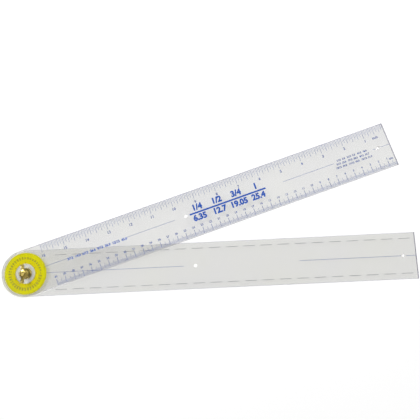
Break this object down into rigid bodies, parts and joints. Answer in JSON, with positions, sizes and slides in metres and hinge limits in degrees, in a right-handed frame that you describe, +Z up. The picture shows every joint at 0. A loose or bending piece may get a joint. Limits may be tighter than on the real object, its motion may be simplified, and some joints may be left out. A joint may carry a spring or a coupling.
{
  "type": "angle finder with arms",
  "caption": "Pair of clear rule arms turning on a brass screw, with a yellow degree ring between them, clamped by a wing nut.",
  "frame": {"origin": "on the pivot screw's axis, in the flat underside of the lower, plain arm", "axes": "+X along the plain arm from the pivot to its square end, +Z up from the underside to the wing nut, +Y to the side on which the scale arm is opened"},
  "size_m": [0.4572, 0.1754, 0.0152],
  "materials": {
    "clear_plain_arm": "clear, polished faces, with grey printed guide lines",
    "clear_scale_arm": "clear, polished faces, with blue printed scales",
    "yellow_ring": "smooth yellow, with dark printed degree marks",
    "clear_washer": "clear, smooth",
    "brass": "bright, lightly worn"
  },
  "bodies": {
    "base": {"plain_arm": "clear_plain_arm", "pivot_screw": "brass", "degree_ring": "yellow_ring", "arm_washer": "clear_washer"},
    "swinging_arm": {"scale_arm": "clear_scale_arm"},
    "turning_washer": {"nut_washer": "clear_washer"},
    "clamping_nut": {"wing_nut": "brass"}
  },
  "joints": [
    {"name": "arm_pivot", "type": "hinge", "parent": "base", "child": "swinging_arm", "pos_m": [0, 0, 0.0064], "axis": [0, 0, 1], "continuous": true},
    {"name": "nut_turn", "type": "hinge", "parent": "base", "child": "turning_washer", "pos_m": [0, 0, 0.00859], "axis": [0, 0, 1], "range_deg": [0, 1080]},
    {"name": "nut_rise", "type": "slide", "parent": "turning_washer", "child": "clamping_nut", "axis": [0, 0, 1], "range_m": [0, 0.00238]}
  ],
  "couplings": [
    {"joint": "nut_turn", "follows": "nut_rise", "rad_per_m": 7915.8}
  ]
}
